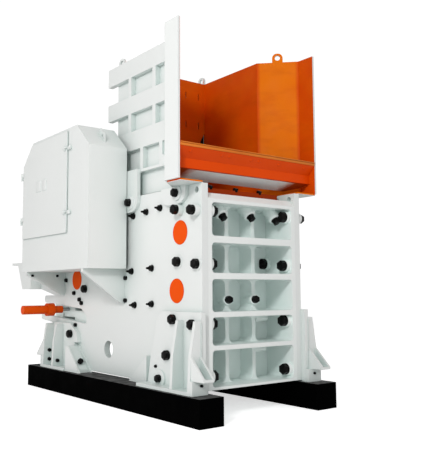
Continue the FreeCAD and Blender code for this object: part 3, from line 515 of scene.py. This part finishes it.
for sign in (-1, 1):
    for across, along, up in RIB_BOLTS:
        add_bolt(bolts, turned(at(sign * across, along, up), (0, -1, 0)), *RIB_BOLT)
    seat = at(sign * STOP_SEAT[0], *STOP_SEAT[1:])
    add_bolt(bolts, turned(seat, STOP_LEAN), *STOP_BOLT)
    add_bolt(bolts, turned(at(sign * PAD[0], *PAD[1:]), (0, -1, 0)), *PAD_BOLT)
    edge, start = sign * (OUTSIDE + FOOT_FACE + RIB_WELD_OUT), BEAM_TOP + RIB_WELD_START
    for ribs, top in ((FRONT_RIBS, FRONT_RIB_TOP), (REAR_RIBS, REAR_RIB_TOP)):
        for along in ribs:
            add_bead(welds, at(edge, along, start), at(edge, along, top), RIB_WELD)
    for reach, near, far in SOLES:
        edge, up = sign * (OUTSIDE + reach), BEAM_TOP + SOLE_WELD_UP
        add_bead(welds, at(edge, near, up), at(edge, far, up), SOLE_WELD)
finish(bolts, "foot_bolts", bolt_black)

# ---- Hopper -------------------------------------------------------------------------
# Bent plate panels, white outside and orange inside, where stone has rubbed the paint.
# Flat bars stiffen them, rubber strips close the slots in the rear wall, and the lip,
# a folded orange plate, carries button bolts and a flat bar that stone wears bright.
wall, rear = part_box("hopper_wall_left"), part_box("hopper_rear_wall")
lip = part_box("hopper_front_lip")
PANEL_IN, HOPPER_FRONT = -wall[1][0], wall[0][1]
CHEEK_IN = -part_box("hopper_cheek_left")[1][0]
SKIN = 0.003
HOPPER_ORANGE = (0.66, 0.072, 0.0)
# Lighter orange serves both random fading and the painted light on the flares.
FADED_AND_LIT_ORANGE = (0.80, 0.19, 0.0)
RUBBED_ORANGE = (0.44, 0.052, 0.0)
CHUTE_ORANGE = (0.50, 0.055, 0.0)
CHUTE_UNDER = (0.86, 0.92, 0.92)
# Orange-brown at the underside's ends: overspray together with painted shade and reflection from
# the walls.
CHUTE_ENDS_SPRAY_AND_SHADE = (0.36, 0.07, 0.004)
LIP_ORANGE = (0.80, 0.070, 0.0)
WORN_ORANGE = (0.72, 0.20, 0.02)
FRONT_BAR_OUT, FRONT_BAR_LOW, FRONT_BAR_HIGH = 0.008, 0.030, 0.004
TOP_BAR_OUT, TOP_BAR_UP = 0.014, 0.008
LIP_BUTTONS = (-0.762, -0.385, -0.285, 0.003, 0.115, 0.390, 0.761)
BUTTON, BUTTON_PLACE, BUTTON_LEAN = (0.015, -0.004, 0.009), (0.028, 2.512), (0, -0.758, -0.652)
STRIPS, STRIP_HALF, STRIP_THICK = (0.280, 0.473), 0.045, 0.010
STRIP_LOW, STRIP_HIGH = 3.15, 3.70
FLAP_MIDDLE, FLAP_HALF, FLAP_LIFT, FLAP_TOP = 0.535, 0.028, 0.02, 3.155
GUSSET, GUSSET_THICK, GUSSET_OUT, GUSSET_PLACE = 0.066, 0.06, 0.055, (0.66, 2.545)
RIB_EDGES, RIB_RUN = (2.745, 2.955, 3.165, 3.360, 3.580), (0.61, 1.66)
LOW_BARS, LOW_BAR_RUN = (0.700, 1.070), (2.515, 2.74)
HIGH_BARS, HIGH_BAR_RUN = (0.830, 1.320), (2.96, 3.16)
BAR_EDGE, HOPPER_WELD, WELD_OUT, WELD_UNDER = 0.031, 0.006, 0.026, 0.004


def hopper_paint():
    """White outside; orange wherever a point lies within the panels' inner faces, lighter on the
    flares as painted light.
    """
    material, film, shader = painted("hopper_paint", WHITE, WHITE_DUST, WHITE_PAINTED_SHADE,
                                     roughness=0.55, coat=0.0, specular=0.08)
    tree = material.node_tree
    place = tree.nodes.new("ShaderNodeTexCoord").outputs["Object"]
    split = tree.nodes.new("ShaderNodeSeparateXYZ")
    tree.links.new(place, split.inputs[0])
    across = maths(tree, "ABSOLUTE", split.outputs["X"])
    flare = maths(tree, "ADD", across, split.outputs["Y"])
    in_wall = maths(tree, "LESS_THAN", across, PANEL_IN + SKIN)
    in_flare = maths(tree, "LESS_THAN", flare, PANEL_IN + HOPPER_FRONT + SKIN)
    in_cheek = maths(tree, "LESS_THAN", across, CHEEK_IN + SKIN)
    inside = maths(tree, "MAXIMUM", in_wall, maths(tree, "MULTIPLY", in_flare, in_cheek))
    before = maths(tree, "LESS_THAN", split.outputs["Y"], rear[1][1] - SKIN)
    inside = maths(tree, "MULTIPLY", inside, before)
    floor_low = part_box("hopper_floor_left")[0][2]
    above = maths(tree, "GREATER_THAN", split.outputs["Z"], floor_low + SKIN)
    inside = maths(tree, "MULTIPLY", inside, above)
    # Between wall and cheek the flare panels turn lighter and yellower: painted light where the key
    # lamp falls on them. The noise adds random fading.
    flare_painted_light = maths(tree, "MULTIPLY", ramp(tree, across, PANEL_IN + 0.005, PANEL_IN + 0.03),
                 ramp(tree, across, CHEEK_IN - 0.004, CHEEK_IN - 0.03))
    fade_and_flare_light = ramp(tree, noise(tree, 3.2, 6, place), 0.30, 0.75, -0.05, 0.25)
    fade_and_flare_light = maths(tree, "MULTIPLY_ADD", flare_painted_light, 0.75, fade_and_flare_light)
    streak = tree.nodes.new("ShaderNodeMapping")
    streak.inputs["Scale"].default_value = (1.6, 1.6, 5.0)
    tree.links.new(place, streak.inputs["Vector"])
    rubbed = ramp(tree, noise(tree, 1.6, 5, streak.outputs[0]), 0.50, 0.80, 0.0, 0.30)
    orange = blended(tree, fade_and_flare_light, HOPPER_ORANGE, FADED_AND_LIT_ORANGE)
    orange = blended(tree, rubbed, orange, RUBBED_ORANGE)
    tree.links.new(blended(tree, inside, film.outputs["Colour"], orange),
                   shader.inputs["Base Color"])
    return material


def chute_paint():
    """Orange above; white below between orange ends, partly overspray and partly painted shade and
    reflection from the orange walls.
    """
    material, film, shader = painted("chute_paint", CHUTE_ORANGE, (0.34, 0.045, 0.0),
                                     (0.25, 0.03, 0.0), grime_amount=0.5, coat=0.0, specular=0.15)
    tree = material.node_tree
    place = tree.nodes.new("ShaderNodeTexCoord").outputs["Object"]
    split = tree.nodes.new("ShaderNodeSeparateXYZ")
    tree.links.new(place, split.inputs[0])
    turn = tree.nodes.new("ShaderNodeSeparateXYZ")
    tree.links.new(tree.nodes.new("ShaderNodeNewGeometry").outputs["Normal"], turn.inputs[0])
    across = maths(tree, "ABSOLUTE", split.outputs["X"])
    across = maths(tree, "MULTIPLY_ADD", noise(tree, 9.0, 4, place), 0.10, across)
    # Towards the ends the white turns orange-brown: overspray with painted shade and reflection.
    below = blended(tree, ramp(tree, across, 0.67, 0.78), CHUTE_UNDER, CHUTE_ENDS_SPRAY_AND_SHADE)
    upper = ramp(tree, turn.outputs["Z"], -0.6, -0.4)
    tree.links.new(blended(tree, upper, below, film.outputs["Colour"]), shader.inputs["Base Color"])
    return material


dress(hopper_paint(), "hopper_wall", "hopper_flare", "hopper_cheek", "hopper_rear",
      "hopper_floor")
dress(chute_paint(), "hopper_chute")
lip_orange = painted("lip_orange", LIP_ORANGE, (0.62, 0.062, 0.0), (0.32, 0.035, 0.0),
                     shade_amount=0.5, grime_amount=0.3, coat=0.0, specular=0.12)[0]
dress(lip_orange, "hopper_front_lip")
worn_orange = painted("worn_orange", WORN_ORANGE, (0.55, 0.10, 0.005), (0.45, 0.08, 0.0),
                      grime_amount=0.7, roughness=0.4, grain=0.5, grain_size=45.0, coat=0.0,
                      specular=0.3)[0]
rubber = painted("rubber", (0.012, 0.012, 0.012), (0.035, 0.033, 0.030), (0.006, 0.006, 0.006),
                 grime_amount=0.6, roughness=0.8, grain=0.6, coat=0.0, specular=0.1)[0]

lip_left, lip_front, lip_top = lip[0][0], lip[0][1], lip[1][2]
lip_right, lip_rear = lip[1][0], lip[1][1]
mesh = bmesh.new()
add_slab(mesh, (lip_left, lip_front - FRONT_BAR_OUT, lip_top - FRONT_BAR_LOW),
         (lip_right, lip_front + SUNK, lip_top - FRONT_BAR_HIGH), soft=0.003)
add_slab(mesh, (lip_left, lip_front - TOP_BAR_OUT, lip_top - SUNK),
         (lip_right, lip_rear, lip_top + TOP_BAR_UP), soft=0.003)
finish(mesh, "lip_bar", worn_orange)
mesh = bmesh.new()
for across in LIP_BUTTONS:
    place = turned(at(across, *BUTTON_PLACE), BUTTON_LEAN)
    add_drum(mesh, place, 24, *BUTTON, soft=0.004, steps=3)
finish(mesh, "lip_buttons", lip_orange)

mesh = bmesh.new()
near, far = rear[1][1] - 0.001, rear[1][1] - 0.001 + STRIP_THICK
for sign in (-1, 1):
    for across in STRIPS:
        add_slab(mesh, (sign * across - STRIP_HALF, near, STRIP_LOW),
                 (sign * across + STRIP_HALF, far, STRIP_HIGH), soft=0.002)
    add_slab(mesh, (sign * FLAP_MIDDLE - FLAP_HALF, near, rear[0][2] + FLAP_LIFT),
             (sign * FLAP_MIDDLE + FLAP_HALF, far, FLAP_TOP), soft=0.002)
finish(mesh, "rear_wall_rubbers", rubber)

mesh = bmesh.new()
for sign in (-1, 1):
    place = turned(at(sign * (PANEL_IN + GUSSET_OUT), *GUSSET_PLACE), (sign, 0, 0))
    made = bmesh.ops.create_cone(mesh, cap_ends=True, segments=4, radius1=GUSSET, radius2=GUSSET,
                                 depth=GUSSET_THICK, matrix=place)
    bmesh.ops.bevel(mesh, geom=edges_of(made), offset=0.004, segments=2, affect="EDGES",
                    profile=0.5, material=-1)
finish(mesh, "hopper_gussets", white_plate)

for sign in (-1, 1):
    edge = sign * (PANEL_IN + WELD_OUT)
    for rib in RIB_EDGES:
        up = rib - WELD_UNDER
        add_bead(welds, at(edge, RIB_RUN[0], up), at(edge, RIB_RUN[1], up), HOPPER_WELD)
    for bars, (low, high) in ((LOW_BARS, LOW_BAR_RUN), (HIGH_BARS, HIGH_BAR_RUN)):
        for along in bars:
            for side in (along - BAR_EDGE, along + BAR_EDGE):
                add_bead(welds, at(edge, side, low), at(edge, side, high), HOPPER_WELD)
finish(welds, "weld_beads", white_plate)

# ---- Jaw dies and cheek plates ------------------------------------------------------
# Manganese steel castings, unpainted. Upright ridges on one die face the grooves of
# the other, and work has polished their crests.
RIDGES, RIDGE_HALF_DEPTH = 9, 0.022
manganese = painted("manganese_steel", (0.15, 0.145, 0.14), (0.10, 0.075, 0.06),
                    (0.05, 0.045, 0.04), roughness=0.5, grain=0.7, grain_size=40.0, coat=0.0,
                    metallic=0.7)[0]
dress(manganese, "cheek_plate")


def ridged_die(name, node, facing, phase):
    """Corrugated plate in the space of its CAD node; facing is the worn side's sign on Y."""
    mesh = bmesh.new()
    mesh.from_mesh(nodes[node].data)
    bmesh.ops.remove_doubles(mesh, verts=mesh.verts, dist=0.0005)
    bmesh.ops.dissolve_limit(mesh, angle_limit=0.01, verts=mesh.verts, edges=mesh.edges)
    low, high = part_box(node)
    pitch = (high[0] - low[0]) / RIDGES
    quarter = pitch / 4
    for step in range(1, RIDGES * 4):
        bmesh.ops.bisect_plane(mesh, geom=mesh.verts[:] + mesh.edges[:] + mesh.faces[:],
                               plane_co=(low[0] + step * quarter, 0, 0), plane_no=(1, 0, 0))
    worn = {v for f in mesh.faces if f.normal.y * facing > 0.8 for v in f.verts}
    for vertex in worn:
        turn = 2 * math.pi * (vertex.co.x - low[0]) / pitch + phase
        vertex.co.y -= facing * RIDGE_HALF_DEPTH * (1 - math.cos(turn))
    piece = finish(mesh, name, manganese)
    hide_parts(node)


ridged_die("fixed_die_ridges", "fixed_jaw_die", 1, 0.0)
ridged_die("swing_die_ridges", "swing_jaw_die", -1, math.pi)

# ---- Flywheels and bearings ---------------------------------------------------------
# Cast wheels on the ends of a bare machined shaft, their rims turned, each held by a
# ring of bolts on its boss. The bearing covers are bolted on all round.
wheel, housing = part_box("flywheel_left"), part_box("bearing_housing_left")
WHEEL_Y, WHEEL_Z = (wheel[0][1] + wheel[1][1]) / 2, (wheel[0][2] + wheel[1][2]) / 2
BOLT_RING, RING_BOLTS = 0.170, 8
WHEEL_BOLT, COVER_BOLT = (0.040, 0.018), (0.036, 0.016)
bare_steel = painted("machined_steel", (0.42, 0.42, 0.43), (0.3, 0.29, 0.28), (0.2, 0.2, 0.2),
                     roughness=0.32, grain=0.1, coat=0.0, metallic=1.0)[0]
dress(bare_steel, "eccentric_shaft", "tension_rod")
bolts = bmesh.new()
for sign in (-1, 1):
    for step in range(RING_BOLTS):
        angle = 2 * math.pi * step / RING_BOLTS
        along = WHEEL_Y + BOLT_RING * math.cos(angle)
        up = WHEEL_Z + BOLT_RING * math.sin(angle)
        add_bolt(bolts, turned((sign * -wheel[0][0], along, up), (sign, 0, 0)), *WHEEL_BOLT)
        add_bolt(bolts, turned((sign * -housing[0][0], along, up), (sign, 0, 0)), *COVER_BOLT)
finish(bolts, "wheel_bolts", bolt_black)

# ---- Guards and their doors ---------------------------------------------------------
# Folded sheet boxes over the wheels. Each door hangs on two pin hinges at the rear and
# is held by two swing bolts with tee handles. Two flush lock plates sit in the door.
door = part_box("guard_door_left")
DOOR_OUT = -door[0][0]
DOOR_FACE = DOOR_OUT - 0.014  # hinges and swing bolts stand out from the sheet
LATCHES = (2.070, 2.790)
STUD_PLACE, TEE_STUD, TEE_HALF, TEE_RUN = 1.820, (0.016, -0.002, 0.010), 0.006, (0.055, 0.038)
CATCH_PLACE, CATCH_HALF, CATCH_RISE = (1.700, 1.762), 0.012, 0.022
PIN, PIN_PLACE, PIN_OUT, PIN_LEAN = (0.007, -0.01, 0.085), 1.745, 0.002, (0, -1, -0.25)
LOCKS, LOCK_HALF, LOCK_LOW, LOCK_HIGH = ((2.300, 2.400), (2.448, 2.580)), 0.006, 2.385, 2.512
KEYHOLE, KEYHOLE_OUT, KEYHOLE_UP = (0.007, -0.002, 0.005), 0.005, 2.43
BRACKET_BOLTS, BRACKET_BOLT = ((1.372, 1.343), (1.372, 1.099)), (0.046, 0.020)
SHELF_BOLTS, SHELF_BOLT = ((1.092, 2.870, 1.396), (0.762, 2.870, 1.396)), (0.032, 0.014)
for side, sign in (("left", -1), ("right", 1)):
    fittings, catches = bmesh.new(), bmesh.new()
    edge, face, inner = sign * DOOR_OUT, sign * DOOR_FACE, sign * (DOOR_FACE - CATCH_HALF)
    for up in LATCHES:
        place = turned(at(edge, STUD_PLACE, up), (sign, 0, 0))
        add_drum(fittings, place, 24, *TEE_STUD, soft=0.003)
        add_slab(fittings, at(edge - TEE_HALF, STUD_PLACE - TEE_RUN[0], up - TEE_HALF),
                 at(edge + TEE_HALF, STUD_PLACE + TEE_RUN[1], up + TEE_HALF), soft=0.003)
        add_slab(catches, at(inner - CATCH_HALF, CATCH_PLACE[0], up - CATCH_RISE),
                 at(inner + CATCH_HALF, CATCH_PLACE[1], up + CATCH_RISE), soft=0.004)
        pin = turned(at(sign * (DOOR_FACE + PIN_OUT), PIN_PLACE, up), PIN_LEAN)
        add_drum(catches, pin, 12, *PIN, soft=0.002)
    for near, far in LOCKS:
        add_slab(fittings, at(face - LOCK_HALF, near, LOCK_LOW),
                 at(face + LOCK_HALF, far, LOCK_HIGH), soft=0.0015)
        spot = at(sign * (DOOR_FACE + KEYHOLE_OUT), (near + far) / 2, KEYHOLE_UP)
        add_drum(fittings, turned(spot, (sign, 0, 0)), 16, *KEYHOLE, soft=0.001)
    finish(fittings, "door_fittings_" + side, white_plate, side + "_door")
    finish(catches, "guard_catches_" + side, white_plate)
bolts = bmesh.new()
for sign in (-1, 1):
    for spot in BRACKET_BOLTS:
        add_bolt(bolts, on_plate(sign, spot), *BRACKET_BOLT)
    for across, along, up in SHELF_BOLTS:
        add_bolt(bolts, turned(at(sign * across, along, up), (0, -1, 0)), *SHELF_BOLT)
finish(bolts, "guard_bolts", bolt_black)

# ---- Floor, light and camera --------------------------------------------------------
# A pale studio floor under a white dome, a soft key from high on the left, weak fills
# from the left, the front and the rear, and a view from the feed side's left corner.
FLOOR_WHITE, FLOOR_HALF = (0.90, 0.90, 0.90, 1), 60
FLOOR_GLOW, FLOOR_GLOW_SEEN = 0.03, 0.60
DOME, DOME_SEEN = 0.47, 1.05
AIM = (0.0, 0.0, cad_box[1][2] * 0.45)
EYE = Vector((-4.4291, -6.9432, 1.195))
YAW, PITCH, ROLL = (math.radians(angle) for angle in (37.975, 5.679, -0.318))
SENSOR, LENS, SHIFT = 36.0, 53.18, 0.0052


def seen_or_not(tree, unseen, seen):
    """One value for the camera's own rays, another for the light that falls on things."""
    ray = tree.nodes.new("ShaderNodeLightPath").outputs["Is Camera Ray"]
    return ramp(tree, ray, 0.0, 1.0, unseen, seen)


floor_mesh = bmesh.new()
bmesh.ops.create_grid(floor_mesh, x_segments=1, y_segments=1, size=FLOOR_HALF)
floor_data = bpy.data.meshes.new("studio_floor")
floor_mesh.to_mesh(floor_data)
floor_mesh.free()
floor = bpy.data.objects.new("studio_floor", floor_data)
floor_paint = bpy.data.materials.new("studio_floor")
floor_paint.use_nodes = True
floor_tree = floor_paint.node_tree
floor_shader = floor_tree.nodes["Principled BSDF"]
floor_shader.inputs["Base Color"].default_value = FLOOR_WHITE
floor_shader.inputs["Roughness"].default_value = 0.9
floor_shader.inputs["Specular IOR Level"].default_value = 0.0
floor_shader.inputs["Emission Color"].default_value = (1, 1, 1, 1)
floor_tree.links.new(seen_or_not(floor_tree, FLOOR_GLOW, FLOOR_GLOW_SEEN),
                     floor_shader.inputs["Emission Strength"])
floor_data.materials.append(floor_paint)
bpy.context.scene.collection.objects.link(floor)

world = bpy.data.worlds.new("studio")
bpy.context.scene.world = world
world.use_nodes = True
studio = world.node_tree
backdrop = studio.nodes["Background"]
backdrop.inputs["Color"].default_value = (1.0, 1.0, 1.0, 1)
studio.links.new(seen_or_not(studio, DOME, DOME_SEEN), backdrop.inputs["Strength"])


def soft_box(name, spot, width, power):
    """Square lamp that looks at the machine."""
    lamp = bpy.data.lights.new(name, "AREA")
    lamp.shape = "SQUARE"
    lamp.size = width
    lamp.energy = power
    thing = bpy.data.objects.new(name, lamp)
    thing.location = spot
    thing.rotation_euler = (Vector(AIM) - Vector(spot)).to_track_quat("-Z", "Y").to_euler()
    bpy.context.scene.collection.objects.link(thing)


soft_box("key_light", (-8.4, -7.2, 6.0), 1.8, 520)
soft_box("fill_light", (-9.5, 2.5, 3.0), 5.0, 110)
soft_box("front_light", (-1.0, -9.5, 2.0), 5.0, 45)
soft_box("rear_light", (6.0, 8.0, 6.0), 5.0, 220)

forward = Vector((math.sin(YAW) * math.cos(PITCH), math.cos(YAW) * math.cos(PITCH),
                  math.sin(PITCH)))
level = Vector((math.cos(YAW), -math.sin(YAW), 0))
right = level * math.cos(ROLL) + level.cross(forward) * math.sin(ROLL)
upward = right.cross(forward)
lens = bpy.data.cameras.new("camera")
lens.sensor_width = SENSOR
lens.lens = LENS
lens.shift_x = SHIFT
camera = bpy.data.objects.new("camera", lens)
turn = Matrix((right, upward, -forward)).transposed().to_4x4()
camera.matrix_world = Matrix.Translation(EYE) @ turn
bpy.context.scene.collection.objects.link(camera)
bpy.context.scene.camera = camera
bpy.context.scene.view_settings.view_transform = "Standard"
